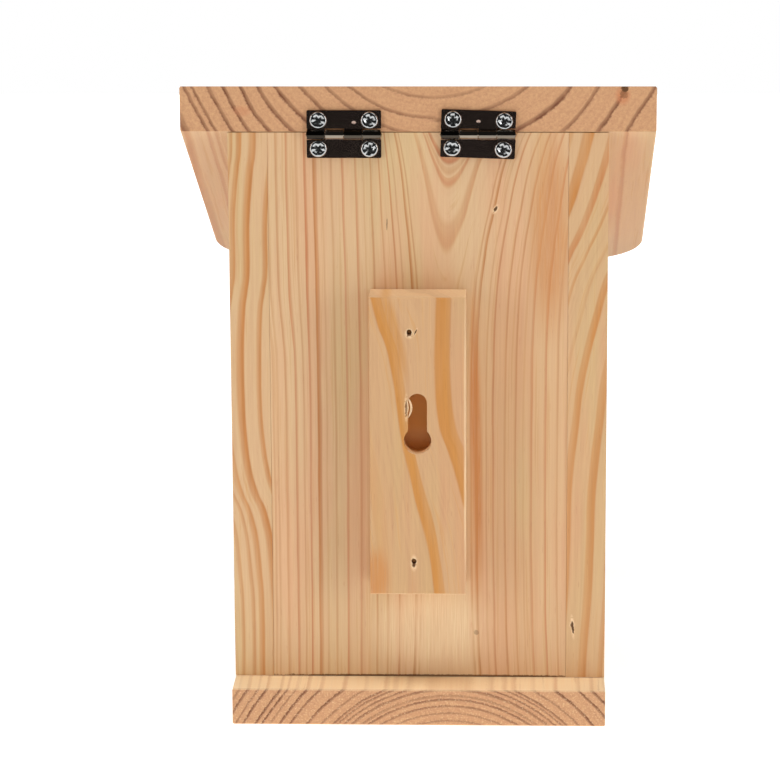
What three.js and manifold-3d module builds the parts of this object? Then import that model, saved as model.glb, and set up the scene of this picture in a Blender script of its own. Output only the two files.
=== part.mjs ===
// A squirrel feeder box: a nailed pine box with a clear front, a hinged sloping lid and a keyhole block
// on its back, so that it hangs on a wall or tree, or stands on its floor board.
// Millimetres, +Z up, the back of the box towards +Y. The origin is the centre of the floor's underside.
import * as THREE from "three";
import { mergeVertices } from "three/addons/utils/BufferGeometryUtils.js";
import Module from "manifold-3d";

const wasm = await Module();
wasm.setup();

// Boards
const bodyWidth = 134;
const sideThickness = 14;
const sideDepth = 126;
const backThickness = 14;
const floorThickness = 13.4;
const ledgeLength = 64.1;
const ledgeCornerRadius = 30;
const seatHeight = 213.2;
const seam = 0.15;
const easedEdge = 0.5;

// Lid
const lidSlope = THREE.MathUtils.degToRad(25.5);
const lidSideOverhang = 16.6;
const lidFrontOverhang = 34.7;
const lidThickness = 14.4;
const lidCornerRadius = 30;
const lidRestGap = 0.3;

// Clear front window, which slides in a groove in each side
const windowThickness = 2.5;
const windowSetback = 6;
const windowHeadroom = 12;
const windowCornerRadius = 3;
const grooveDepth = 5;
const grooveClearance = 0.3;

// Hanger block and its keyhole
const standoff = 15.9;
const hangerWidth = 34;
const hangerHeight = 108;
const hangerCentreHeight = 103;
const keyholeCentreHeight = 105.3;
const keyholeRadius = 4.9;
const keyholeSlotRadius = 3.4;
const keyholeSlotRise = 13.8;
const keyholeLip = 5;
const keyholePocketRadius = 5.4;
const keyholePocketDepth = 5.5;

// Hinges: the sheet of each leaf is rolled round the pin into two knuckles
const leftHingeCentre = 25.9;
const rightHingeCentre = -21.2;
const hingeWidth = 26.2;
const hingeLeafReach = 8.45;
const hingeLeafThickness = 0.8;
const hingeLeafCornerRadius = 0.6;
const hingePinDrop = 0.8;
const hingeSeat = 0.1;
const knuckleGap = 0.3;
const knuckleReliefGap = 0.4;
const knuckleRollGap = 0.35;
const knucklesPerLeaf = 2;
const pinRadius = 0.75;
const pinClearance = 0.1;
const pinEndRise = 0.35;

// Hinge screws
const screwSpacing = 18;
const screwOffset = 4.9;
const screwHeadRadius = 3.1;
const screwHeadRim = 0.5;
const screwHeadHeight = 1.6;
const screwShankRadius = 1.1;
const screwLength = 9;
const screwTipLength = 2.5;
const screwTipRadius = 0.2;
const screwRecessWidth = 0.9;
const screwRecessSpan = 3.4;
const screwRecessDepth = 1;
const screwHoleClearance = 0.2;
const screwLeafClearance = 0.5;

// Brads: thin finishing nails, driven a little under the surface
const bradRadius = 0.6;
const bradHeadRadius = 0.75;
const bradHeadHeight = 0.6;
const bradLength = 25;
const bradTipLength = 2;
const bradTipRadius = 0.15;
const bradSink = 1;
const bradClearance = 0.2;
const hangerBradInset = 12.3;
const upperHangerBradOffset = 2.8;
const lowerHangerBradOffset = 1.4;
const sideBradHeightShares = [0.15, 0.5, 0.82];
const floorBradDepthShares = [0.28, 0.72];
const floorBradBackShare = 0.5;

// How far a cutter runs past the face that it cuts
const overrun = 1;

// Faces round a curve
const cornerSteps = 10;
const smallCornerSteps = 3;
const keyholeSteps = 12;
const knuckleSteps = 20;
const screwSteps = 24;
const screwDomeSteps = 5;
const bradSteps = 10;

// Sizes and places that follow from the ones above
const floorLength = ledgeLength + sideDepth + standoff;
const lidWidth = bodyWidth + 2 * lidSideOverhang;
const lidLength = (sideDepth + lidFrontOverhang) / Math.cos(lidSlope);
const backFace = floorLength / 2 - standoff;
const frontOfSides = backFace - sideDepth;
const innerWidth = bodyWidth - 2 * sideThickness;
const bedHeight = floorThickness + seam;
const slopeFall = Math.tan(lidSlope);
const windowFront = frontOfSides + windowSetback;
const knuckleBore = pinRadius + pinClearance;
const knuckleRadius = knuckleBore + hingeLeafThickness;
const pinHeight = seatHeight - hingePinDrop;
const pinDepth = backFace + hingeSeat + knuckleRadius;
const leafOuterFace = backFace + hingeSeat + hingeLeafThickness;
const backTop = seatHeight + lidThickness / Math.cos(lidSlope);

/** Height of the lid's underside at a distance y. */
function lidUndersideAt(y) {
  return seatHeight - (backFace - y) * slopeFall;
}

/** Height at a distance y of the sloping edges that the lid rests on. */
function seatAt(y) {
  return lidUndersideAt(y) - lidRestGap / Math.cos(lidSlope);
}

// Solids

/** A closed three.js geometry as a solid that can be joined and cut. */
function solid(geometry) {
  const bare = geometry.index ? geometry.toNonIndexed() : geometry.clone();
  bare.deleteAttribute("normal");
  bare.deleteAttribute("uv");
  const merged = mergeVertices(bare);
  const triVerts = new Uint32Array(merged.index.array);
  const vertProperties = new Float32Array(merged.attributes.position.array);
  return new wasm.Manifold(new wasm.Mesh({ numProp: 3, vertProperties, triVerts }));
}

/** A solid as a three.js geometry with flat faces. */
function geometryOf(body) {
  const { numProp, vertProperties, triVerts } = body.getMesh();
  const places = [];
  for (let i = 0; i < vertProperties.length; i += numProp) {
    places.push(vertProperties[i], vertProperties[i + 1], vertProperties[i + 2]);
  }
  const shared = new THREE.BufferGeometry();
  shared.setAttribute("position", new THREE.Float32BufferAttribute(places, 3));
  shared.setIndex(Array.from(triVerts));
  const flat = shared.toNonIndexed();
  flat.computeVertexNormals();
  return flat;
}

const alongX = new THREE.Matrix4().makeBasis(
  new THREE.Vector3(0, 1, 0),
  new THREE.Vector3(0, 0, 1),
  new THREE.Vector3(1, 0, 0),
);
const alongY = new THREE.Matrix4().makeBasis(
  new THREE.Vector3(1, 0, 0),
  new THREE.Vector3(0, 0, 1),
  new THREE.Vector3(0, -1, 0),
);

function extrude(shape, depth, curveSegments) {
  return new THREE.ExtrudeGeometry(shape, { depth, curveSegments, bevelEnabled: false });
}

/** As extrude, with the edges round both ends planed off by easedEdge. */
function extrudeEased(shape, depth, curveSegments) {
  return new THREE.ExtrudeGeometry(shape, {
    depth: depth - 2 * easedEdge,
    curveSegments,
    bevelThickness: easedEdge,
    bevelSize: easedEdge,
    bevelOffset: -easedEdge,
    bevelSegments: 1,
  }).translate(0, 0, easedEdge);
}

/** A shape drawn in Y and Z, drawn out from x = from to x = to. */
function extrudeX(shape, from, to, steps = cornerSteps) {
  return solid(extrude(shape, to - from, steps).applyMatrix4(alongX).translate(from, 0, 0));
}

/** A shape drawn in X and Z, drawn out forwards from y = from to the lower y = to. */
function extrudeY(shape, from, to, steps = cornerSteps) {
  return solid(extrude(shape, from - to, steps).applyMatrix4(alongY).translate(0, from, 0));
}

/** A shape drawn in X and Y, drawn up from z = from to z = to. */
function extrudeZ(shape, from, to, steps = cornerSteps) {
  return solid(extrude(shape, to - from, steps).translate(0, 0, from));
}

function polygon(points) {
  return new THREE.Shape(points.map(([a, b]) => new THREE.Vector2(a, b)));
}

function rectangle(left, bottom, right, top) {
  return polygon([
    [left, bottom],
    [right, bottom],
    [right, top],
    [left, top],
  ]);
}

/** A profile of [radius, height] pairs from axis to axis, turned about Z. */
function turned(profile, steps) {
  const points = profile.map(([radius, height]) => new THREE.Vector2(radius, height));
  return new THREE.LatheGeometry(points, steps).rotateX(Math.PI / 2);
}

/** A rectangle whose corners on the front edge, the lower one, are round. */
function roundFrontOutline(width, front, back, radius) {
  const half = width / 2;
  const shape = new THREE.Shape();
  shape.moveTo(half, back);
  shape.lineTo(-half, back);
  shape.lineTo(-half, front + radius);
  shape.absarc(-half + radius, front + radius, radius, Math.PI, 1.5 * Math.PI, false);
  shape.lineTo(half - radius, front);
  shape.absarc(half - radius, front + radius, radius, 1.5 * Math.PI, 2 * Math.PI, false);
  return shape;
}

// Brads and screws, driven along their own -Z from a head at their origin

function bradProfile(grow) {
  const neck = -bradHeadHeight - grow;
  const tip = -bradLength - grow;
  return [
    [0, tip],
    [bradTipRadius + grow, tip],
    [bradRadius + grow, tip + bradTipLength],
    [bradRadius + grow, neck],
    [bradHeadRadius + grow, neck],
  ];
}

function bradGeometry() {
  return turned([...bradProfile(0), [bradHeadRadius, 0], [0, 0]], bradSteps);
}

/** The hole that a brad leaves, with the pit over its head. */
function bradHoleGeometry() {
  const pit = bradHeadRadius + bradClearance;
  const mouth = bradSink + overrun;
  return turned([...bradProfile(bradClearance), [pit, mouth], [0, mouth]], bradSteps);
}

function screwShankProfile(grow) {
  const tip = -screwLength - grow;
  return [
    [0, tip],
    [screwTipRadius + grow, tip],
    [screwShankRadius + grow, tip + screwTipLength],
  ];
}

/** A pan head with a cross recess on a tapered shank. */
function screwGeometry() {
  const dome = [];
  for (let i = 0; i < screwDomeSteps; i++) {
    const turn = (i / screwDomeSteps) * (Math.PI / 2);
    const rise = (screwHeadHeight - screwHeadRim) * Math.sin(turn);
    dome.push([screwHeadRadius * Math.cos(turn), screwHeadRim + rise]);
  }
  const profile = [
    ...screwShankProfile(0),
    [screwShankRadius, 0],
    [screwHeadRadius, 0],
    ...dome,
    [0, screwHeadHeight],
  ];
  const half = screwRecessWidth / 2;
  const reach = screwRecessSpan / 2;
  const floorOfRecess = screwHeadHeight - screwRecessDepth;
  const top = screwHeadHeight + overrun;
  const slots = extrudeZ(rectangle(-reach, -half, reach, half), floorOfRecess, top)
    .add(extrudeZ(rectangle(-half, -reach, half, reach), floorOfRecess, top));
  return geometryOf(solid(turned(profile, screwSteps)).subtract(slots));
}

function screwHoleGeometry() {
  const radius = screwShankRadius + screwHoleClearance;
  const mouth = hingeSeat + hingeLeafThickness + overrun;
  const profile = [...screwShankProfile(screwHoleClearance), [radius, mouth], [0, mouth]];
  return turned(profile, screwSteps / 2);
}

// Where each fastener goes: the place of the top of its shank, and the turn that points it in

const drivenForwards = new THREE.Euler(-Math.PI / 2, 0, 0);
const drivenUp = new THREE.Euler(Math.PI, 0, 0);
const drivenLeft = new THREE.Euler(0, Math.PI / 2, 0);
const drivenRight = new THREE.Euler(0, -Math.PI / 2, 0);

const midBack = backFace - backThickness / 2;
const panelHeight = seatAt(backFace) - bedHeight;
const sides = [
  { name: "left", sign: 1, driven: drivenLeft },
  { name: "right", sign: -1, driven: drivenRight },
];

const sideBrads = sides.flatMap(({ name, sign, driven }) =>
  sideBradHeightShares.map((share, i) => ({
    name: `${name}_side_brad_${i + 1}`,
    side: name,
    place: [sign * (bodyWidth / 2 - bradSink), midBack, bedHeight + share * panelHeight],
    turn: driven,
  })),
);

const floorBrads = sides.flatMap(({ name, sign }) => [
  ...floorBradDepthShares.map((share, i) => ({
    name: `${name}_floor_brad_${i + 1}`,
    board: name,
    place: [(sign * (bodyWidth - sideThickness)) / 2, frontOfSides + share * sideDepth, bradSink],
    turn: drivenUp,
  })),
  {
    name: `${name}_back_floor_brad`,
    board: "back",
    place: [(sign * innerWidth * floorBradBackShare) / 2, midBack, bradSink],
    turn: drivenUp,
  },
]);

const hangerOuterFace = backFace + standoff;
const hangerBottom = hangerCentreHeight - hangerHeight / 2;
const hangerTop = hangerCentreHeight + hangerHeight / 2;
const hangerBrads = [
  {
    name: "upper_hanger_brad",
    offset: upperHangerBradOffset,
    height: hangerTop - hangerBradInset,
  },
  {
    name: "lower_hanger_brad",
    offset: lowerHangerBradOffset,
    height: hangerBottom + hangerBradInset,
  },
].map(({ name, offset, height }) => ({
  name,
  place: [offset, hangerOuterFace - bradSink, height],
  turn: drivenForwards,
}));

const hinges = [
  { name: "left_hinge", centre: leftHingeCentre },
  { name: "right_hinge", centre: rightHingeCentre },
];
const screws = hinges.flatMap(({ name, centre }) =>
  [
    { leaf: "lid", drop: screwOffset },
    { leaf: "panel", drop: -screwOffset },
  ].flatMap(({ leaf, drop }) =>
    [-1, 1].map((side) => ({
      name: `${name}_${leaf}_screw_${side < 0 ? 1 : 2}`,
      hinge: name,
      leaf,
      place: [centre + (side * screwSpacing) / 2, leafOuterFace, pinHeight + drop],
      turn: drivenForwards,
    })),
  ),
);

/** A geometry turned and moved to where a fastener goes. */
function placed(geometry, { place, turn }) {
  const matrix = new THREE.Matrix4().makeRotationFromEuler(turn).setPosition(...place);
  return geometry.applyMatrix4(matrix);
}

/** A solid with the holes of these fasteners drilled in it. */
function drilled(body, fasteners, holeGeometry) {
  return fasteners.reduce((left, one) => left.subtract(solid(placed(holeGeometry(), one))), body);
}

// Boards

function floorBoard() {
  const outline = roundFrontOutline(
    bodyWidth,
    -floorLength / 2,
    floorLength / 2,
    ledgeCornerRadius,
  );
  const board = extrudeEased(outline, floorThickness, cornerSteps);
  return drilled(solid(board), floorBrads, bradHoleGeometry);
}

/** A side: upright behind, cut to the lid's slope on top, with the window's groove on its inner face. */
function sidePanel({ name, sign }) {
  const outer = (sign * bodyWidth) / 2;
  const inner = outer - sign * sideThickness;
  const outline = polygon([
    [frontOfSides, bedHeight],
    [backFace, bedHeight],
    [backFace, seatAt(backFace)],
    [frontOfSides, seatAt(frontOfSides)],
  ]);
  const board = extrudeX(outline, Math.min(inner, outer), Math.max(inner, outer));
  const grooveFloor = inner + sign * grooveDepth;
  const grooveMouth = inner - sign * overrun;
  const groove = extrudeX(
    rectangle(
      windowFront - grooveClearance,
      bedHeight - overrun,
      windowFront + windowThickness + grooveClearance,
      seatHeight,
    ),
    Math.min(grooveMouth, grooveFloor),
    Math.max(grooveMouth, grooveFloor),
  );
  const brads = [
    ...sideBrads.filter(({ side }) => side === name),
    ...floorBrads.filter(({ board: at }) => at === name),
  ];
  return drilled(board.subtract(groove), brads, bradHoleGeometry);
}

/** The back, between the sides, with its top edge bevelled to the lid's slope. */
function backPanel() {
  const half = innerWidth / 2 - seam;
  const inside = backFace - backThickness;
  const outline = polygon([
    [inside, bedHeight],
    [backFace, bedHeight],
    [backFace, seatAt(backFace)],
    [inside, seatAt(inside)],
  ]);
  const brads = [
    ...sideBrads,
    ...floorBrads.filter(({ board }) => board === "back"),
    ...hangerBrads,
  ];
  const nailed = drilled(extrudeX(outline, -half, half), brads, bradHoleGeometry);
  return drilled(nailed, screws.filter(({ leaf }) => leaf === "panel"), screwHoleGeometry);
}

/** The lid: a board on the slope, cut upright behind and round at its front corners. */
function lidBoard() {
  const front = backFace - lidLength * Math.cos(lidSlope);
  const sawnOff = lidThickness * Math.tan(lidSlope) + overrun;
  const outline = roundFrontOutline(lidWidth, 0, lidLength + sawnOff, lidCornerRadius);
  const board = extrudeEased(outline, lidThickness, cornerSteps)
    .rotateX(lidSlope)
    .translate(0, front, lidUndersideAt(front));
  const half = lidWidth / 2 + overrun;
  const waste = extrudeX(
    rectangle(backFace, seatHeight - overrun, backFace + sawnOff, backTop + sawnOff),
    -half,
    half,
  );
  const holes = screws.filter(({ leaf }) => leaf === "lid");
  return drilled(solid(board).subtract(waste), holes, screwHoleGeometry);
}

/** A keyhole in X and Z: a round hole, with a narrower slot that rises from it. */
function keyholeOutline(holeRadius, slotRadius) {
  const top = keyholeCentreHeight + keyholeSlotRise;
  const meet = Math.asin(slotRadius / holeRadius);
  const shape = new THREE.Shape();
  shape.moveTo(slotRadius, top);
  shape.absarc(0, top, slotRadius, 0, Math.PI, false);
  shape.absarc(
    0,
    keyholeCentreHeight,
    holeRadius,
    Math.PI / 2 + meet,
    2.5 * Math.PI - meet,
    false,
  );
  return shape;
}

/** The hanger block: a keyhole lip, with a wider pocket under it for the head of the wall screw. */
function hangerBlock() {
  const half = hangerWidth / 2;
  const inside = backFace + seam;
  const pocketTop = hangerOuterFace - keyholeLip;
  const pocketFloor = pocketTop - keyholePocketDepth;
  const lip = keyholeOutline(keyholeRadius, keyholeSlotRadius);
  const pocket = new THREE.Shape();
  pocket.absarc(0, keyholeCentreHeight + keyholeSlotRise, keyholePocketRadius, 0, Math.PI, false);
  pocket.absarc(0, keyholeCentreHeight, keyholePocketRadius, Math.PI, 2 * Math.PI, false);
  const board = extrudeEased(
    rectangle(-half, hangerBottom, half, hangerTop),
    hangerOuterFace - inside,
  );
  const block = solid(board.applyMatrix4(alongY).translate(0, hangerOuterFace, 0))
    .subtract(extrudeY(lip, hangerOuterFace + overrun, pocketTop - overrun, keyholeSteps))
    .subtract(extrudeY(pocket, pocketTop, pocketFloor, keyholeSteps));
  return drilled(block, hangerBrads, bradHoleGeometry);
}

/** The clear window: a sheet with round upper corners, standing on the floor in the sides' grooves. */
function frontWindow() {
  const half = innerWidth / 2 + grooveDepth - grooveClearance;
  const top = lidUndersideAt(windowFront) - windowHeadroom;
  const radius = windowCornerRadius;
  const shape = new THREE.Shape();
  shape.moveTo(-half, bedHeight);
  shape.lineTo(half, bedHeight);
  shape.lineTo(half, top - radius);
  shape.absarc(half - radius, top - radius, radius, 0, Math.PI / 2, false);
  shape.lineTo(-half + radius, top);
  shape.absarc(-half + radius, top - radius, radius, Math.PI / 2, Math.PI, false);
  return extrudeY(shape, windowFront + windowThickness, windowFront, cornerSteps / 2);
}

// Hinges

const knuckleCount = 2 * knucklesPerLeaf;
const knucklePitch = hingeWidth / knuckleCount;

/** A knuckle in Y and Z: the sheet rolled round the pin, from the plate and nearly back to it. */
function knuckleOutline(up, root) {
  const plateBack = pinDepth - knuckleRadius;
  const plateFace = pinDepth - knuckleBore;
  const end = Math.acos((knuckleRollGap - knuckleBore) / knuckleRadius);
  const shape = new THREE.Shape();
  shape.moveTo(plateFace, root);
  shape.lineTo(plateBack, root);
  shape.lineTo(plateBack, pinHeight);
  shape.absarc(pinDepth, pinHeight, knuckleRadius, Math.PI, up * end, up < 0);
  shape.absarc(pinDepth, pinHeight, knuckleBore, up * end, Math.PI, up > 0);
  return shape;
}

/**
 * One leaf of a hinge: a plate on the wood, with its knuckles.
 * The lid's leaf has the first knuckle from +X, and the panel's the second.
 */
function hingeLeaf({ name, centre }, leaf) {
  const up = leaf === "lid" ? 1 : -1;
  const first = leaf === "lid" ? 0 : 1;
  const edge = pinHeight + up * hingeLeafReach;
  const root = pinHeight + up * (knuckleRadius + knuckleReliefGap);
  const corner = hingeLeafCornerRadius;
  const half = hingeWidth / 2;
  const shape = new THREE.Shape();
  shape.moveTo(centre - half, root);
  shape.lineTo(centre + half, root);
  shape.lineTo(centre + half, edge - up * corner);
  shape.quadraticCurveTo(centre + half, edge, centre + half - corner, edge);
  shape.lineTo(centre - half + corner, edge);
  shape.quadraticCurveTo(centre - half, edge, centre - half, edge - up * corner);
  let body = extrudeY(shape, leafOuterFace, backFace + hingeSeat, smallCornerSteps);
  for (let i = 0; i < knucklesPerLeaf; i++) {
    const right = centre + half - (first + 2 * i) * knucklePitch - knuckleGap / 2;
    const left = right - knucklePitch + knuckleGap;
    body = body.add(extrudeX(knuckleOutline(up, root + up * corner), left, right, knuckleSteps));
  }
  const mine = screws.filter((screw) => screw.hinge === name && screw.leaf === leaf);
  return drilled(body, mine, leafHoleGeometry);
}

/** The hole for a screw in a leaf. */
function leafHoleGeometry() {
  const radius = screwShankRadius + screwLeafClearance;
  const reach = hingeLeafThickness + overrun;
  return turned([[0, -reach], [radius, -reach], [radius, overrun], [0, overrun]], screwSteps);
}

/** The pin, with its ends hammered to a low cone. */
function hingePin({ centre }) {
  const half = hingeWidth / 2;
  const profile = [
    [0, -half - pinEndRise],
    [pinRadius, -half],
    [pinRadius, half],
    [0, half + pinEndRise],
  ];
  return turned(profile, knuckleSteps).rotateY(Math.PI / 2).translate(centre, pinDepth, pinHeight);
}

// Materials

function material(color, roughness, metalness = 0, extra = {}) {
  return new THREE.MeshStandardMaterial({ color, roughness, metalness, ...extra });
}

const pine = material(0xd9b083, 0.62);
const pineEndGrain = material(0xcb9a70, 0.7);
const pineSide = material(0xdcb280, 0.6);
const pineHanger = material(0xd6ab7c, 0.6);
const clearSheet = material(0xe8f0f2, 0.08, 0, { transparent: true, opacity: 0.3 });
const nickel = material(0xb9b7b0, 0.16, 1);
const screwZinc = material(0xd2d4d6, 0.24, 1);
const bradSteel = material(0x7c7468, 0.45, 1);

// The assembly

function piece(name, shape, finish) {
  const geometry = shape.isBufferGeometry ? shape : geometryOf(shape);
  const mesh = new THREE.Mesh(geometry, finish);
  mesh.name = name;
  return mesh;
}

function fastener(item, geometry, finish) {
  const mesh = piece(item.name, geometry, finish);
  mesh.position.set(...item.place);
  mesh.rotation.copy(item.turn);
  return mesh;
}

const box = new THREE.Group();
box.name = "box";
box.add(
  piece("floor_board", floorBoard(), pineEndGrain),
  ...sides.map((side) => piece(`${side.name}_side_panel`, sidePanel(side), pineSide)),
  piece("back_panel", backPanel(), pine),
  piece("hanger_block", hangerBlock(), pineHanger),
);

const slidingWindow = new THREE.Group();
slidingWindow.name = "window";
slidingWindow.add(piece("front_window", frontWindow(), clearSheet));

const lid = new THREE.Group();
lid.name = "lid";
lid.add(piece("lid_board", lidBoard(), pineEndGrain));

for (const hinge of hinges) {
  lid.add(piece(`${hinge.name}_lid_leaf`, hingeLeaf(hinge, "lid"), nickel));
  box.add(piece(`${hinge.name}_panel_leaf`, hingeLeaf(hinge, "panel"), nickel));
  box.add(piece(`${hinge.name}_pin`, hingePin(hinge), nickel));
}
for (const screw of screws) {
  (screw.leaf === "lid" ? lid : box).add(fastener(screw, screwGeometry(), screwZinc));
}
for (const brad of [...sideBrads, ...floorBrads, ...hangerBrads]) {
  box.add(fastener(brad, bradGeometry(), bradSteel));
}

const feeder = new THREE.Group();
feeder.name = "squirrel_feeder_box";
feeder.add(box, slidingWindow, lid);

export default feeder;
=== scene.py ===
"""Finishes a squirrel feeder box: planed pine boards, nickel hinges, zinc screws, brads and a clear window.

Lengths are metres, except in the wood's grain, which is drawn in millimetres. +Z is up, and the back of the
box, with its hinges and keyhole, looks along +Y. Seen from there, +X is on the left.
"""

import functools
import math
import random
from typing import NamedTuple

import bmesh
import bpy
from bpy.props import FloatProperty, FloatVectorProperty, PointerProperty
from mathutils import Matrix, Vector


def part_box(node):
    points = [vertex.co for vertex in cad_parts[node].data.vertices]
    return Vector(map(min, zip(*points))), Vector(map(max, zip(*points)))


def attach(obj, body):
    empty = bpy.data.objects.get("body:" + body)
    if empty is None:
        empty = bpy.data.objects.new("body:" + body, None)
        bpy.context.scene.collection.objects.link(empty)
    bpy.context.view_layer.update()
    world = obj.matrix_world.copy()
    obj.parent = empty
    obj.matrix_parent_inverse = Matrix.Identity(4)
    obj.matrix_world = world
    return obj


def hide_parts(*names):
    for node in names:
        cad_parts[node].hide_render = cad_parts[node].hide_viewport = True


bl_info = {
    "name": "Squirrel feeder box",
    "version": (1, 0, 0),
    "blender": (4, 5, 0),
    "location": "3D View > Sidebar > Feeder",
    "description": "Finishes a nailed pine feeder box with a hinged lid and a clear window",
    "category": "Object",
}

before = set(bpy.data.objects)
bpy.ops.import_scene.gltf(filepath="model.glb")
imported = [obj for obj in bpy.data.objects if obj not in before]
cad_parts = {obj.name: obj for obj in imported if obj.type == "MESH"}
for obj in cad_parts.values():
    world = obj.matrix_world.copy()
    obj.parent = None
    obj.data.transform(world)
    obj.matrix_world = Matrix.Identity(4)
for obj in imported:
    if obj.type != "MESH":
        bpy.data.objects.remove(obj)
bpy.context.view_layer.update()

MM = 0.001
MM_IN_A_METRE = 1000.0
# A route whose numbers differ by less than this is level
LEVEL = 1e-6


# Settings that a user would change


def colour(name, description, default):
    return FloatVectorProperty(
        name=name, description=description, default=default, subtype="COLOR", size=3, min=0, max=1
    )


def length(name, description, default):
    return FloatProperty(name=name, description=description, default=default, unit="LENGTH", min=0)


class PineSettings(bpy.types.PropertyGroup):
    """Colours and edges of the boards."""

    pale: colour("Pale wood", "Wood between the growth rings", (0.695, 0.46, 0.255))
    straw: colour("Straw wood", "Yellower pale wood, in soft patches", (0.66, 0.462, 0.24))
    blush: colour("Blush wood", "Pinker pale wood, in soft patches", (0.705, 0.418, 0.232))
    band: colour("Ring", "Dark side of a growth ring", (0.5, 0.205, 0.06))
    amber: colour("Amber ring", "Broad resinous rings", (0.58, 0.255, 0.052))
    red_band: colour("Red ring", "Redder growth rings", (0.58, 0.215, 0.1))
    end_pale: colour("End grain", "Sawn end grain between the rings", (0.605, 0.325, 0.165))
    end_band: colour("End grain ring", "Growth rings on sawn end grain", (0.185, 0.06, 0.026))
    # The knot colour also paints the shadow line along the gap under the back panel.
    knot_and_gap_shade: colour("Knot", "Dark core of a knot or a nail mark", (0.12, 0.048, 0.014))
    # This colour also paints the pale patches of painted light and the paler keyhole entry.
    torn: colour("Torn wood", "Fresh wood where fibres were torn", (0.92, 0.68, 0.41))
    routed: colour("Routed wood", "Darker wood that the cutter left in the keyhole", (0.8, 0.37, 0.08))
    edge_round: length("Edge rounding", "Radius left on the sawn edges", 0.07 * MM)
    fibre_depth: length("Fibre depth", "Depth of the grain that can be felt", 0.06 * MM)


class HardwareSettings(bpy.types.PropertyGroup):
    """Colours and sizes of the hinges, screws and brads."""

    nickel: colour("Nickel", "Plated hinges", (0.44, 0.32, 0.265))
    zinc: colour("Zinc", "Plated screws", (0.52, 0.53, 0.53))
    steel: colour("Brad steel", "Sunk brad heads", (0.17, 0.075, 0.028))
    plate_round: length("Plate edge", "Radius on the edges of a hinge leaf", 0.25 * MM)
    right_hinge_tilt: FloatProperty(
        name="Right hinge tilt",
        description="How far the right hinge's leaves were screwed on out of true",
        default=math.radians(1.9),
        unit="ROTATION",
    )
    head_radius: length("Head radius", "Radius of a screw's head", 3.05 * MM)
    head_height: length("Head height", "Height of a screw's head over the leaf", 1.35 * MM)
    recess_span: length("Recess span", "Width of the cross recess", 3.3 * MM)
    recess_width: length("Recess slot", "Width of one slot of the cross", 1.0 * MM)
    recess_worn: length("Worn edge", "Wear on the edges of the cross", 0.16 * MM)
    recess_depth: length("Recess depth", "Depth of the cross recess", 1.0 * MM)


class WindowSettings(bpy.types.PropertyGroup):
    """The clear sheet in front."""

    tint: colour("Tint", "Colour of the clear sheet", (0.88, 0.94, 0.95))
    clearness: FloatProperty(
        name="Haze", description="Share of the light that the face stops", default=0.05, min=0, max=1
    )
    edge_round: length("Edge rounding", "Radius on the sheet's edges", 0.25 * MM)


class StageSettings(bpy.types.PropertyGroup):
    """Floor and lamps."""

    floor: colour("Floor", "Pale floor", (0.93, 0.93, 0.93))
    lamp_power: FloatProperty(
        name="Lamps", description="Power that each lamp takes its share of", default=5.85, unit="POWER", min=0
    )
    floor_glow: FloatProperty(
        name="Floor glow", description="Light that the floor gives by itself", default=0.5, min=0
    )
    dark: FloatProperty(name="Dark room", description="Light of the room itself", default=0.03, min=0)


# Shader maths: a Value wraps a socket, and a sum of Values adds its Math nodes


def maths(operation, turned=False):
    """A Value's method that adds a Math node, turned where the other number comes first."""

    def apply(value, other=0.0):
        first, second = (other, value) if turned else (value, other)
        return value.finish.node("ShaderNodeMath", {"operation": operation}, {0: first, 1: second})

    return apply


class Value:
    """A number's socket in a finish."""

    def __init__(self, finish, socket):
        self.finish = finish
        self.socket = socket

    __add__ = __radd__ = maths("ADD")
    __sub__ = maths("SUBTRACT")
    __rsub__ = maths("SUBTRACT", turned=True)
    __mul__ = __rmul__ = maths("MULTIPLY")
    __truediv__ = maths("DIVIDE")
    __pow__ = maths("POWER")
    __abs__ = maths("ABSOLUTE")
    larger = maths("MAXIMUM")
    smaller = maths("MINIMUM")


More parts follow.
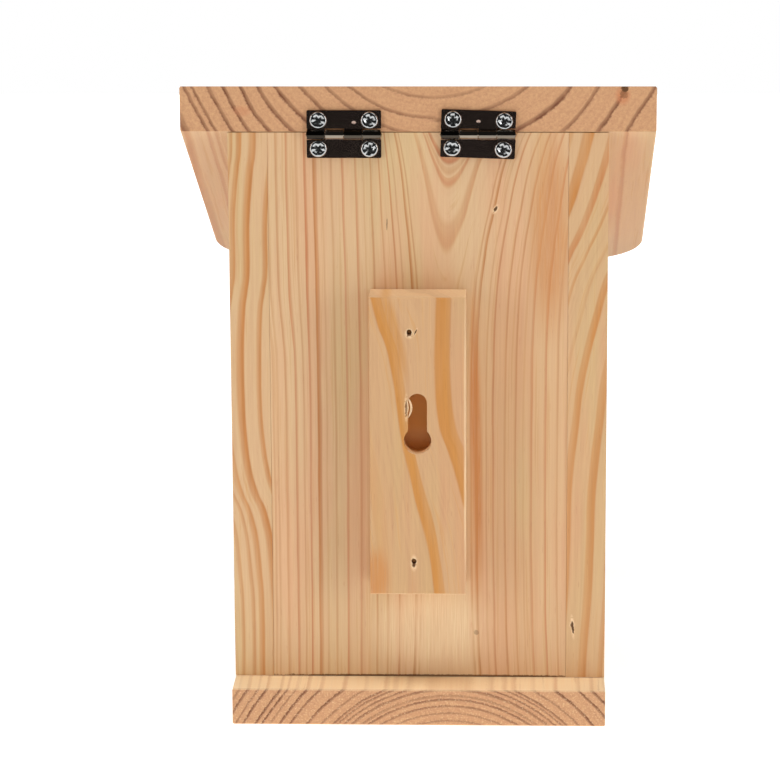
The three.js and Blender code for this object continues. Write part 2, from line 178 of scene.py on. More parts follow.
class Finish:
    """The nodes of a new material, or of a world, as they are put together."""

    def __init__(self, name, world=None):
        self.owner = world or bpy.data.materials.new(name)
        self.owner.use_nodes = True
        self.tree = self.owner.node_tree
        self.tree.nodes.clear()

    def node(self, kind, settings=None, inputs=None, output=0):
        """Adds a node: its settings first, then its sockets' values or links. Gives one output."""
        made = self.tree.nodes.new(kind)
        for name, value in (settings or {}).items():
            if name == "stops":
                set_stops(made.color_ramp, value)
            elif name == "curve":
                set_curve(made.mapping, value)
            else:
                setattr(made, name, value)
        for key, value in (inputs or {}).items():
            target = made.inputs[key] if isinstance(key, int) else open_socket(made, key)
            if isinstance(value, Value):
                self.tree.links.new(value.socket, target)
            else:
                target.default_value = value
        shown = [socket for socket in made.outputs if socket.enabled]
        found = shown[output] if isinstance(output, int) else made.outputs[output]
        return Value(self, found)

    def noise(self, vector, scale, detail=2.0, roughness=0.5):
        inputs = {"Vector": vector, "Scale": scale, "Detail": detail, "Roughness": roughness}
        return self.node("ShaderNodeTexNoise", {}, inputs)

    def smooth(self, value, low, high):
        """0 below low, 1 above high and a smooth rise between."""
        inputs = {"Value": value, "From Min": low, "From Max": high}
        return self.node("ShaderNodeMapRange", {"interpolation_type": "SMOOTHSTEP"}, inputs)

    def fall(self, value, low, high):
        """1 below low, 0 above high and a smooth fall between."""
        return 1 - self.smooth(value, low, high)

    def mix(self, share, first, second, blend="MIX"):
        """Two colours mixed, each a socket or red, green and blue."""
        settings = {"data_type": "RGBA", "blend_type": blend}
        first, second = (part if isinstance(part, Value) else opaque(part) for part in (first, second))
        return self.node("ShaderNodeMix", settings, {"Factor": share, "A": first, "B": second})

    def vector(self, x, y, z):
        return self.node("ShaderNodeCombineXYZ", {}, {0: x, 1: y, 2: z})

    def parts(self, vector):
        return [self.node("ShaderNodeSeparateXYZ", {}, {0: vector}, part) for part in range(3)]

    def place(self, turn=(0, 0, 0)):
        """The place on the object in millimetres, turned if need be."""
        place = self.node("ShaderNodeTexCoord", {}, {}, "Object")
        inputs = {"Vector": place, "Rotation": turn, "Scale": (MM_IN_A_METRE,) * 3}
        return self.node("ShaderNodeMapping", {}, inputs)

    def route(self, value, points):
        """A number that follows points of (value, number) and is level past their ends."""
        lows, highs = zip(*sorted(points))
        first, last = lows[0], lows[-1]
        least, most = min(highs), max(highs)
        span = most - least
        if span < LEVEL:
            return value * 0 + least
        curve = [((a - first) / (last - first), (b - least) / span) for a, b in zip(lows, highs)]
        inputs = {"Value": value, "From Min": first, "From Max": last}
        share = self.node("ShaderNodeMapRange", {}, inputs)
        return self.node("ShaderNodeFloatCurve", {"curve": curve}, {"Value": share}) * span + least

    def surface(self, inputs, height=None, depth=MM):
        """The whole material, with a bump if a height is given."""
        if height is not None:
            bump = {"Height": height, "Distance": depth, "Strength": 1.0}
            inputs = {**inputs, "Normal": self.node("ShaderNodeBump", {}, bump)}
        return self.closed(self.node("ShaderNodeBsdfPrincipled", {}, inputs), "ShaderNodeOutputMaterial")

    def closed(self, shader, kind):
        """The material or world, with the shader linked to its output node."""
        self.tree.links.new(shader.socket, self.tree.nodes.new(kind).inputs["Surface"])
        return self.owner


def open_socket(made, name):
    return next(s for s in made.inputs if s.enabled and name in (s.name, s.identifier))


def set_stops(ramp, stops):
    """Stops of (place, colour), smooth between."""
    ramp.interpolation = "EASE"
    while len(ramp.elements) > 1:
        ramp.elements.remove(ramp.elements[-1])
    for i, (place, shade) in enumerate(stops):
        element = ramp.elements[0] if i == 0 else ramp.elements.new(place)
        element.position = place
        element.color = shade


def set_curve(mapping, points):
    """A float curve through these points of 0 to 1."""
    curve = mapping.curves[0]
    for place, level in points[1:-1]:
        curve.points.new(place, level)
    curve.points[0].location = points[0]
    curve.points[len(curve.points) - 1].location = points[-1]
    mapping.update()


def opaque(shade):
    return (*shade, 1.0)


# Boards. A board's grain is drawn in millimetres across (u), into (v) and along (w) it.


class Ring(NamedTuple):
    """A growth ring, by the place where it meets the board's shown face."""

    place: float
    strength: float
    fade: float = 1.2
    red: float = 0.2


def as_rings(*rows):
    return tuple(Ring(*row) for row in rows)


class Mark(NamedTuple):
    """A knot, nail mark or resin spot on the shown face, with torn wood round it, or a painted shadow line
    along a gap.
    """

    across: float
    up: float
    half_width: float
    half_height: float
    turn: float = 0.0
    strength: float = 1.0
    halo: float = 0.0


class Patch(NamedTuple):
    """A soft patch of redder, darker or paler wood on the shown face. Some pale ones are painted light, and
    one is partly painted shadow.
    """

    across: float
    up: float
    half_width: float
    half_height: float
    strength: float = 0.5
    red: float = 0.5
    # A pale patch takes the torn wood's colour, which on some patches is painted light.
    pale: bool = False
    turn: float = 0.0


class Board(NamedTuple):
    """How a board was sawn, and what its shown face has.

    The heart of the tree is at (u, v), and the listed rings are placed on the face at v = face. Others
    follow at the usual spacing, within the reach. A ring rises over its fade, mostly before the plateau's
    share of it, and falls over the sharp width. Drift moves the rings sideways along the board, rise and lean
    bend them outwards, and vees are rings listed by the height of their tips. Routed is a burnt ellipse.
    """

    node: str
    heart: tuple
    face: float
    rings: tuple
    body: str = "box"
    slot: str = "pine"
    along: str = "z"
    other_rings: tuple = ()
    drift: tuple = ((0, 0), (1, 0))
    other_drift: tuple = ()
    drift_span: tuple = (0, 1)
    rise: tuple = ()
    lean: tuple = ()
    vees: tuple = ()
    spacing: float = 3.0
    reach: tuple = (10, 90)
    wobble: float = 0.5
    sharp: float = 0.35
    slope: float = 0.0
    marks: tuple = ()
    patches: tuple = ()
    blush: float = 0.0
    contrast: float = 1.0
    plateau: float = 0.6
    amber: float = 0.0
    lightness: float = 0.0
    end_light: float = 0.0
    torn_end: float = 0.0
    swell: float = 0.0
    routed: tuple = ()


LID_SLOPE = math.radians(25.5)

BACK = Board(
    node="back_panel",
    heart=(-9.7, 78.1),
    face=87.1,
    rings=as_rings(
        (51.6, 0.4, 0.8), (48.7, 0.6, 1.0), (45.1, 0.85, 1.1, 0.7), (41.9, 0.5, 0.8),
        (39.4, 0.95, 0.9, 0.8), (36.5, 1.0, 1.7, 0.2), (33.4, 0.35, 0.7), (30.1, 0.5, 0.9),
        (25.8, 0.85, 1.0, 0.9), (20.9, 0.7, 1.0, 0.8), (18.0, 0.35, 0.6), (15.2, 0.65, 0.8),
        (11.4, 0.7, 0.8), (7.1, 0.85, 0.8, 0.5), (4.6, 0.4, 0.6, 0.3), (1.3, 0.9, 1.2, 0.1),
        (-0.7, 0.6, 0.8, 0.1),
    ),
    rise=(
        (14, 1.3), (30, 0.6), (50, 0.2), (70, 0), (125, 0.2), (150, 1.0), (171, 3.0), (184, 5.2),
        (197, 7.6), (205, 9.8), (213, 13.0),
    ),
    lean=((-55, 0.85), (-25, 1.0), (-10, 0.8), (8, 0.5), (22, 0.12), (52, 0.04)),
    drift=((100, 0.8), (128, 0.7), (140, 0.1), (150, -0.6), (160, -1.0), (213, -1.2)),
    other_drift=((0, 0), (1, 0)),
    drift_span=(37, 46),
    swell=0.09 * MM,
    vees=as_rings(
        (202.1, 0.9, 0.8, 0.9), (198.5, 0.4, 0.6, 0.5), (193.9, 0.75, 1.0, 0.8), (171.0, 0.6, 1.6, 0.5),
    ),
    spacing=1.9,
    reach=(1, 75),
    sharp=0.3,
    contrast=1.12,
    blush=0.35,
    marks=(
        Mark(-27.3, 185.6, 0.55, 1.1, 28, 1.0, 0.9),
        Mark(11.0, 180.3, 0.22, 2.4, 2, 0.6),
        Mark(-20.6, 30.3, 1.0, 0.9, 30, 0.4),
        # Painted shadow: a thin dark line along the gap between the back panel and the floor board.
        Mark(-6.0, 13.8, 62.0, 0.5, 0, 0.85),
    ),
    patches=(
        Patch(-46.5, 178.0, 8.5, 40.0, 0.8, 0.45),
        Patch(-38.0, 95.0, 20.0, 75.0, 0.2, 0.3),
        # A darker orange strip beside the block's right edge, as tall as the block: partly the wood's own
        # streak, partly painted shadow of the block.
        Patch(-20.6, 100.0, 2.3, 58.0, 1.0, 0.45, False, -1.2),
        # Painted light: a paler patch under the hanger block that stands in for light bounced up from the
        # floor.
        Patch(-4.0, 32.0, 22.0, 17.0, 0.7, 0.0, True),
    ),
)

LEFT_SIDE = Board(
    node="left_side_panel",
    heart=(102.0, 24.0),
    face=87.1,
    rings=as_rings(
        (78.5, 0.5, 1.4), (75.0, 0.6, 1.4), (71.3, 0.7, 1.4), (67.9, 0.9, 2.4), (62.6, 1.0, 3.2),
        (56.3, 0.9, 2.1), (50.3, 0.6, 1.8),
    ),
    drift=(
        (15, 11.7), (40, 11.5), (52, 10.7), (64, 9.6), (71, 8.3), (76, 7.0), (82, 4.5), (92, 2.0),
        (100, 1.0), (117, 0), (132, 0), (148, 0.7), (156, 1.8), (164, 2.8), (180, 3.0), (192, 3.9),
        (200, 4.8), (208, 5.8), (215, 5.8),
    ),
    spacing=3.4,
    reach=(18, 95),
    sharp=0.45,
    amber=0.35,
    contrast=1.2,
    lightness=-0.08,
)

RIGHT_SIDE = Board(
    node="right_side_panel",
    heart=(10.0, 24.0),
    face=87.1,
    rings=as_rings(
        (-66.0, 0.6, 2.0), (-60.0, 0.85, 3.3), (-51.4, 1.0, 2.9, 0.2), (-45.0, 0.35, 1.2),
        (-39.1, 0.7, 1.1), (-34.0, 0.95, 2.6, 0.5), (-26.7, 1.0, 4.0, 0.2),
    ),
    drift=(
        (15, 0.3), (28, 1.0), (40, 2.0), (60, 2.8), (80, 3.2), (95, 4.3), (108, 5.8), (120, 7.1),
        (132, 9.4), (147, 13.0), (158, 15.9), (168, 20.0), (180, 25.4), (194, 30.4), (213, 35.4),
    ),
    spacing=3.8,
    reach=(25, 110),
    sharp=0.45,
    amber=0.6,
    contrast=1.1,
    plateau=0.8,
    lightness=-0.18,
    marks=(Mark(-55.4, 32.6, 0.42, 2.6, -5, 1.0, 1.0), Mark(-55.2, 33.4, 0.7, 0.8, 0, 0.9, 0.5)),
)

HANGER = Board(
    node="hanger_block",
    heart=(-70.0, 75.0),
    face=103.0,
    rings=as_rings(
        (25.0, 0.2, 5.0), (10.0, 1.0, 4.0, 0.1), (-5.6, 1.0, 6.2, 0.15), (-23.0, 0.8, 4.0),
    ),
    drift=(
        (49, 11.2), (59, 11.3), (71, 9.9), (86, 8.2), (98.5, 5.8), (109, 4.0), (123, 2.1),
        (130, 1.0), (139, -0.9), (149, -4.4), (157, -6.3),
    ),
    other_drift=((49, 16), (72, 13.0), (84, 10.0), (101, 5.6), (113, 1.6), (130, 0.0), (157, 0.4)),
    drift_span=(-5, 6),
    spacing=12.0,
    reach=(30, 120),
    sharp=0.4,
    wobble=0.8,
    contrast=1.35,
    plateau=0.85,
    amber=1.0,
    lightness=-0.34,
    end_light=1.0,
    marks=(
        Mark(2.8, 144.1, 0.9, 1.05, 0, 1.0, 1.0),
        Mark(0.6, 144.6, 0.25, 1.0, 25, 1.0, 0.9),
        Mark(1.4, 60.7, 0.75, 1.7, 0, 1.0, 0.8),
        Mark(3.9, 117.3, 0.45, 2.9, 0, 0.7, 0.8),
    ),
    patches=(
        Patch(14.6, 56.0, 4.6, 11.0, 1.0, 0.35),
        Patch(8.3, 145.0, 2.8, 19.0, 0.8, 0.0, False, -14.0),
        # Painted highlight: a pale line along the block's right edge, where the edge catches the light.
        Patch(-17.2, 103.0, 0.9, 70.0, 1.0, 0.0, True),
        Patch(0.0, 48.9, 30.0, 0.6, 0.6, 0.0, True),
    ),
    routed=(0.0, 112.0, 8.0, 16.0),
)

LID = Board(
    node="lid_board",
    body="lid",
    slot="pine_end_grain",
    along="y",
    heart=(-6.2, 210.6),
    face=168.8,
    slope=LID_SLOPE,
    rings=as_rings(
        (82.3, 0.85, 1.33, 0.5), (79.5, 0.8, 0.93, 0.2), (74.3, 0.85, 1.33, 0.2),
        (69.0, 0.95, 1.46, 0.3), (62.7, 1.0, 1.59, 0.8), (55.9, 0.95, 1.59, 0.6), (49.1, 1.0, 1.46, 0.5),
        (41.0, 0.8, 1.33, 0.2), (32.6, 0.65, 1.19, 0.8), (23.9, 0.65, 1.06, 0.2), (10.6, 0.5, 0.93, 0.2),
    ),
    other_rings=as_rings(
        (81.5, 0.5, 1.53), (70.8, 0.9, 1.36, 0.3), (61.6, 1.0, 1.53, 0.8), (51.1, 0.8, 1.44, 0.3),
        (40.7, 1.0, 1.61, 0.6), (25.4, 0.65, 1.44, 0.3), (10.4, 0.4, 1.1),
    ),
    spacing=6.0,
    reach=(36, 120),
    sharp=0.5,
    wobble=1.1,
    lightness=-0.18,
    marks=(Mark(-72.3, 168.6, 1.4, 1.2, 20, 1.0, 0.0), Mark(-72.0, 167.0, 1.5, 1.6, 10, 0.5, 0.0)),
    patches=(Patch(-71.7, 166.3, 2.9, 3.2, 1.0, 0.9), Patch(61.7, 161.5, 3.5, 2.0, 0.5, 1.0)),
)

FLOOR = Board(
    node="floor_board",
    slot="pine_end_grain",
    along="y",
    heart=(-11.3, -39.6),
    face=13.4,
    rings=as_rings(
        (62.1, 0.92, 0.98, 0.6), (58.1, 0.63, 0.68), (55.3, 0.98, 0.9), (50.2, 1.0, 0.98),
        (47.4, 0.98, 0.75, 0.5), (44.1, 0.57, 0.75), (40.0, 1.0, 1.05), (35.1, 0.92, 0.9),
        (26.9, 1.0, 1.05, 0.4), (19.0, 0.57, 0.75), (12.2, 0.8, 0.75), (9.0, 0.69, 0.68),
        (4.0, 0.8, 0.68),
    ),
    spacing=2.1,
    reach=(30, 100),
    sharp=0.4,
    wobble=0.6,
    contrast=0.45,
    lightness=0.9,
    torn_end=0.5,
)

BOARDS = (BACK, LEFT_SIDE, RIGHT_SIDE, HANGER, LID, FLOOR)
RINGS_IN_A_RAMP = 7
LEAST_SLANT = 0.4
# Rings past the listed ones: spread of their spacing, fade, strength and redness
SPACING_SPREAD = (0.7, 1.35)
FADE_SPREAD = (0.3, 0.5)
STRENGTH_SPREAD = (0.4, 0.85)
RED_SPREAD = (0, 0.6)
# A ring's strength where its plateau starts, and the share of its fade where it ends
PLATEAU_START = 0.65
PLATEAU_END = 0.1
LEAST_STOP_GAP = 1e-4


def on_route(points, value):
    """The number that a route of (value, number) gives."""
    for (a, first), (b, second) in zip(points, points[1:]):
        if value <= b:
            return first + (second - first) * (value - a) / (b - a)
    return points[-1][1]


def ring_rows(board, rings):
    """Rings as (radius, strength, fade, red, sharp), and past their ends others at the usual spacing."""
    upright = board.along == "z"
    into = board.face - board.heart[1]
    rows = []
    for ring in rings:
        across = ring.place - board.heart[0]
        radius = math.hypot(across, into)
        slant = max(abs(across) / radius, LEAST_SLANT) if upright else 1.0
        rows.append((radius, ring.strength, ring.fade * slant, ring.red, board.sharp * slant))
    for vee in board.vees:
        lift = on_route(board.rise, vee.place) * on_route(board.lean, board.heart[0])
        rows.append((into - lift, vee.strength, vee.fade, vee.red, board.sharp))
    low, high = min(row[0] for row in rows), max(row[0] for row in rows)
    chance = random.Random(board.node)
    for start, end, way in ((low, board.reach[0], -1), (high, board.reach[1], 1)):
        radius = start
        while True:
            radius += way * board.spacing * chance.uniform(*SPACING_SPREAD)
            if (radius - end) * way > 0:
                break
            fade = board.spacing * chance.uniform(*FADE_SPREAD)
            strength = chance.uniform(*STRENGTH_SPREAD)
            rows.append((radius, strength, fade, chance.uniform(*RED_SPREAD), board.sharp))
    return sorted(rows)


def largest(values):
    """The largest of several Values."""
    return functools.reduce(Value.larger, values)


def ellipse(spot, u, up):
    """Distance from the middle of a mark or patch, 1 on its outline."""
    turn = math.radians(spot.turn)
    du, dup = u - spot.across, up - spot.up
    a = (du * math.cos(turn) + dup * math.sin(turn)) / spot.half_width
    b = (dup * math.cos(turn) - du * math.sin(turn)) / spot.half_height
    return (a * a + b * b) ** 0.5


class Noise(NamedTuple):
    """A noise in the wood, drawn out along the board, and the levels between which its spots grow."""

    along: float
    scale: float
    detail: float = 2.0
    roughness: float = 0.5
    spots: tuple = (0.0, 1.0)


BROAD_BENDS = Noise(0.18, 0.035, 1.0)
CLOSE_BENDS = Noise(0.18, 0.22)
UNEVEN_RINGS = Noise(0.06, 0.25)
SPECKLE = Noise(1.0, 1.1, 3.0, 0.7)
WOOD_FIBRES = Noise(0.03, 2.4, 4.0, 0.62)
THREADS = Noise(0.012, 0.9, 3.0, 0.6)
DUCTS = Noise(0.09, 1.9, 1.0, 0.5, (0.70, 0.78))
STRAW_PATCHES = Noise(0.18, 0.05, 2.0, 0.5, (0.42, 0.66))
CHIPS = Noise(1.0, 1.7, 2.0, 0.5, (0.56, 0.66))
END_FACING = (0.6, 0.8)
# Millimetres that the noises move a ring on a board of wobble 1, and that the saw tore it on sawn ends
BROAD_BEND, CLOSE_BEND, SAW_TEAR = 4.0, 1.2, 0.9
# A ring's darkness where the wood is least uneven, what the unevenness adds, and its share on faces and ends
LEAST_RING, MORE_RING, RING_ON_FACE, RING_ON_END = 0.45, 1.1, 0.8, 0.9
END_GRIT = 0.55
PINK_SCALE, PINK_ALONG, PINK_SPAN, PINK_MORE = 0.09, 0.1, (0.5, 0.72), 0.3
# Fine lines beside the rings, and how much each noise streaks the wood
FINE_SPAN, THREAD_SPAN = (0.58, 0.66), (0.62, 0.7)
FINE_LINES, THREAD_LINES = 0.3, 0.22
FIBRE_STREAK, THREAD_STREAK, FINE_STREAK, DUCT_STREAK = 0.26, 0.26, 0.3, 0.12
WOOD_ROUGH = 0.56
# Marks: how ragged they are, and the ellipses between which the core, the halo and a patch fade
RAGGED = 1.4
CORE_SPAN, HALO_SPAN, PATCH_SPAN = (0.7, 1.15), (1.2, 2.2), (0.4, 1.2)
# Depth over which the cutter's burnt wood sets in, and the painted light that makes the entry paler by its
# height from the middle, against the shade in the lower entry
BURNT_DEPTH, ENTRY_SPAN, ENTRY_PAINTED_LIGHT = (0.5, 4.0), (-11, -2), 0.6


class Pine(Finish):
    """Solid pine: rings round the heart of the tree, so that faces, edges and ends agree."""

    def __init__(self, board, settings):
        super().__init__(f"pine_{board.node}")
        self.board, self.settings = board, settings
        self.upright = board.along == "z"
        tilt = (-board.slope, 0, 0)
        x, y, z = self.parts(self.place(tilt))
        normal = self.node("ShaderNodeTexCoord", {}, {}, "Normal")
        turned = {"Vector": normal, "Rotation": tilt}
        _, ny, nz = self.parts(self.node("ShaderNodeMapping", {"vector_type": "NORMAL"}, turned))
        self.u, self.v, self.w = (x, y, z) if self.upright else (x, z, y)
        self.up = z
        self.end = self.smooth(abs(nz if self.upright else ny), *END_FACING)
        self.speckle = self.grain(SPECKLE)
        self.fibres = self.grain(WOOD_FIBRES)
        self.threads = self.grain(THREADS)

    def grain(self, kind):
        """A noise along the board."""
        place = self.vector(self.u, self.v, self.w * kind.along)
        return self.noise(place, kind.scale, kind.detail, kind.roughness)

    def spots(self, kind):
        """The spots of a noise along the board."""
        return self.smooth(self.grain(kind), *kind.spots)

    def ring_shades(self, radius, rings):
        """Darkness and redness of these rings at a radius."""
        rows = ring_rows(self.board, rings)
        darks, reds = [], []
        for start in range(0, len(rows), RINGS_IN_A_RAMP):
            group = rows[start : start + RINGS_IN_A_RAMP]
            low = group[0][0] - group[0][2] - self.board.sharp
            high = group[-1][0] + 2 * self.board.sharp
            stops = [(0.0, (0, 0, 0, 1))]
            for ring, strength, fade, redness, sharp in group:
                shape = (
                    (ring - fade, 0.0),
                    (ring - self.board.plateau * fade, PLATEAU_START * strength),
                    (ring - PLATEAU_END * fade, strength),
                    (ring + sharp, 0.0),
                )
                for place, level in shape:
                    place = max((place - low) / (high - low), stops[-1][0] + LEAST_STOP_GAP)
                    stops.append((min(place, 1.0), (level, level * redness, 0, 1)))
            share = (radius - low) / (high - low)
            shade = self.node("ShaderNodeValToRGB", {"stops": stops}, {"Fac": share})
            darks.append(self.node("ShaderNodeSeparateColor", {}, {0: shade}, 0))
            reds.append(self.node("ShaderNodeSeparateColor", {}, {0: shade}, 1))
        return largest(darks), largest(reds)

    def ring_tones(self):
        """Distance from the heart, bent as the tree grew, with the rings' darkness and redness there."""
        board, u, w = self.board, self.u, self.w
        broad = (self.grain(BROAD_BENDS) - 0.5) * (BROAD_BEND * board.wobble)
        close = (self.grain(CLOSE_BENDS) - 0.5) * (CLOSE_BEND * board.wobble)
        drift = self.route(w, board.drift)
        if board.other_drift:
            drift = drift + (self.route(w, board.other_drift) - drift) * self.fall(u, *board.drift_span)
        across = u + broad + close + drift - board.heart[0]
        into = self.v - board.heart[1]
        radius = (across * across + into * into) ** 0.5
        if not self.upright:
            radius = radius + (self.speckle - 0.5) * SAW_TEAR
        if board.rise:
            radius = radius - self.route(w, board.rise) * self.route(u, board.lean)
        dark, red = self.ring_shades(radius, board.rings)
        if board.other_rings:
            here = self.fall(u, board.heart[0] - 1, board.heart[0] + 1)
            other_dark, other_red = self.ring_shades(radius, board.other_rings)
            dark = dark + (other_dark - dark) * here
            red = red + (other_red - red) * here
        return radius, dark * (LEAST_RING + MORE_RING * self.grain(UNEVEN_RINGS)), red

    def faces(self, dark, red, fine):
        """Wood between the rings in soft patches, the rings, and fine lines beside them."""
        board, settings = self.board, self.settings
        across = self.noise(self.vector(self.v, self.u, self.w * PINK_ALONG), PINK_SCALE)
        pinks = self.smooth(across, PINK_SPAN[0] - board.blush * PINK_MORE, PINK_SPAN[1])
        pale = self.mix(self.spots(STRAW_PATCHES), settings.pale, settings.straw)
        pale = self.mix(pinks, pale, settings.blush)
        pale = self.mix(abs(board.lightness), pale, settings.torn if board.lightness > 0 else settings.band)
        brown = self.mix(board.amber, settings.band, settings.amber)
        band = self.mix(red, brown, settings.red_band)
        lines = self.smooth(fine, *FINE_SPAN) * FINE_LINES
        lines = lines + self.smooth(self.threads, *THREAD_SPAN) * THREAD_LINES
        return self.mix((dark * (RING_ON_FACE * board.contrast)).larger(lines).smaller(1), pale, band)

    def ends(self, dark):
        """Sawn end grain: darker and gritty, and torn in chips on the floor board."""
        board, settings = self.board, self.settings
        tone = self.mix(board.end_light, settings.end_pale, settings.pale)
        rings = (dark * RING_ON_END).smaller(1) * (1 - 0.85 * board.end_light)
        tone = self.mix(rings, tone, settings.end_band)
        if board.torn_end:
            tone = self.mix(self.spots(CHIPS) * (0.7 * board.torn_end), tone, settings.torn)
        grit = (self.speckle - 0.5) * END_GRIT + 0.5
        return self.mix(0.6 * (1 - board.end_light), tone, self.vector(grit, grit, grit), "OVERLAY")

    def patched(self, wood):
        """The wood with its soft patches, some of them painted light and painted shadow."""
        settings = self.settings
        for patch in self.board.patches:
            tone = [a + (b - a) * patch.red for a, b in zip(settings.amber, settings.red_band)]
            cover = self.fall(ellipse(patch, self.u, self.up), *PATCH_SPAN) * patch.strength
            wood = self.mix(cover * (1.5 * self.fibres), wood, settings.torn if patch.pale else tone)
        return wood

    def marked(self, wood):
        """The wood with its knots and nail marks, each a dark core with torn wood round it, and a painted gap
        shadow.
        """
        near = self.fall(1 - self.end, 0.2, 0.5)
        if self.upright:
            near = self.fall(abs(self.v - self.board.face), 1.5, 3.0)
        ragged = (self.speckle - 0.5) * RAGGED
        spots = [(mark, ellipse(mark, self.u, self.up) + ragged) for mark in self.board.marks]
        patchy = near * self.smooth(self.speckle, 0.36, 0.56)
        halo = largest(self.fall(far, *HALO_SPAN) * (patchy * mark.halo) for mark, far in spots)
        core = largest(self.fall(far, *CORE_SPAN) * (near * mark.strength) for mark, far in spots)
        return self.mix(core, self.mix(halo * 0.75, wood, self.settings.torn), self.settings.knot_and_gap_shade)

    def burnt(self, wood):
        """The wood with the keyhole's inside burnt by the cutter, and painted lighter at the wide entry below
        against the shade there.
        """
        room = Patch(*self.board.routed)
        deep = self.smooth(self.board.face - self.v, *BURNT_DEPTH)
        inside = self.fall(ellipse(room, self.u, self.up), 0.95, 1.0) * deep
        # Painted light: the burnt colour turns paler towards the wide entry below, which lies in shade.
        entry = self.fall(self.w, *(room.up + step for step in ENTRY_SPAN))
        tone = self.mix(entry * ENTRY_PAINTED_LIGHT, self.settings.routed, self.settings.torn)
        return self.mix(inside, wood, tone)

    def finished(self):
        """The whole material."""
        fibres, threads, speckle, end = self.fibres, self.threads, self.speckle, self.end
        radius, dark, red = self.ring_tones()
        fine = self.noise(self.vector(radius, self.w * 0.01, self.u * 0.05), 1.1, 3.0, 0.6)
        wood = self.patched(self.mix(end, self.faces(dark, red, fine), self.ends(dark)))
        streaks = (fibres - 0.5) * FIBRE_STREAK + (threads - 0.5) * THREAD_STREAK
        streaks = streaks + (fine - 0.5) * FINE_STREAK - self.spots(DUCTS) * DUCT_STREAK + 0.5
        wood = self.mix(0.5, wood, self.vector(streaks, streaks, streaks), "OVERLAY")
        if self.board.marks:
            wood = self.marked(wood)
        if self.board.routed:
            wood = self.burnt(wood)
        rough = WOOD_ROUGH + (fibres - 0.5) * 0.3 + end * 0.12 - dark * 0.08
        height = (fibres - 0.5) * 0.6 + (threads - 0.5) * 0.4 + dark * 0.3 + end * (speckle - 0.5) * 0.8
        inputs = {"Base Color": wood, "Roughness": rough, "Specular IOR Level": 0.35}
        return self.surface(inputs, height, self.settings.fibre_depth)


# Shared shapes


LARGEST_SMOOTH_FACE = 40 * MM * MM
SOLIDS_MERGE = 0.002 * MM
FLAT_ENOUGH = math.radians(0.4)
SHARP_FROM = math.radians(35)
# Degrees up to which an edge is shaded smooth
BOARD_SMOOTH, PLATE_SMOOTH, SCREW_SMOOTH = 30.0, 40.0, 32.0


def new_object(name, bm):
    """An object in the scene from a bmesh, which is freed."""
    mesh = bpy.data.meshes.new(name)
    bm.to_mesh(mesh)
    bm.free()
    made = bpy.data.objects.new(name, mesh)
    bpy.context.scene.collection.objects.link(made)
    return made


def new_piece(name, bm, body, slot, finish, nodes=(), smooth=BOARD_SMOOTH, flat_from=LARGEST_SMOOTH_FACE):
    """A mesh object from a bmesh, riding on its body and standing for CAD nodes."""
    piece = new_object(name, bm)
    piece.data.materials.append(finish)
    piece.data.set_sharp_from_angle(angle=math.radians(smooth))
    for face in piece.data.polygons:
        face.use_smooth = face.area < flat_from
    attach(piece, body)
    if nodes:
        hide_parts(*nodes)
    return piece


def merged_copy(node):
    """A CAD node's solid as a bmesh of whole faces."""
    bm = bmesh.new()
    bm.from_mesh(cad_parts[node].data)
    bmesh.ops.remove_doubles(bm, verts=bm.verts, dist=SOLIDS_MERGE)
    bmesh.ops.dissolve_limit(
        bm, angle_limit=FLAT_ENOUGH, verts=bm.verts, edges=bm.edges, use_dissolve_boundaries=False
    )
    return bm


def round_edges(bm, radius, shortest, segments=3):
    """Rounds the sharp edges that are long enough."""
    edges = [
        e
        for e in bm.edges
        if e.is_manifold and e.calc_length() > shortest and e.calc_face_angle() > SHARP_FROM
    ]
    bmesh.ops.bevel(
        bm,
        geom=edges,
        offset=radius,
        offset_type="OFFSET",
        segments=segments,
        profile=0.5,
        affect="EDGES",
        clamp_overlap=True,
        material=-1,
    )


# Stage

FLOOR_FRONT = -1.5
FLOOR_BACK = 1.05
FLOOR_HALF_WIDTH = 3.0
CAMERA_PLACE = (-0.036884, 1.302959, 0.399507)
CAMERA_HEADING = math.radians(182.2187)
CAMERA_TILT = math.radians(77.0630)
CAMERA_ROLL = math.radians(-0.3068)
CAMERA_LENS = 161.33
CLIP = (0.01, 50)
LAMP_TARGET = Vector((0.0, 0.03, 0.12))
# The floor glows more from the first distance to the second, but not past this line behind the box
GLOW_SPAN = (0.45, 1.2)
GLOW_END = 0.2


class Lamp(NamedTuple):
    """An area lamp, its power as a share of the setting. Without glints, polished metal doesn't mirror it."""

    name: str
    place: tuple
    width: float
    height: float
    share: float
    glints: bool = True


LAMPS = (
    Lamp("side_lamp_left", (1.35, 1.0, 0.4), 0.4, 0.9, 1.1),
    Lamp("high_lamp_left", (0.9, 0.75, 1.6), 1.0, 1.2, 1.0),
    Lamp("side_lamp_right", (-1.35, 1.0, 0.4), 0.4, 0.9, 1.3),
    Lamp("high_lamp_right", (-0.9, 0.75, 1.6), 1.0, 1.2, 1.0),
    Lamp("top_lamp", (0.0, 0.45, 1.75), 1.6, 0.5, 2.4, False),
    Lamp("front_lamp", (0.2, -1.6, 0.9), 1.4, 1.0, 1.8),
)


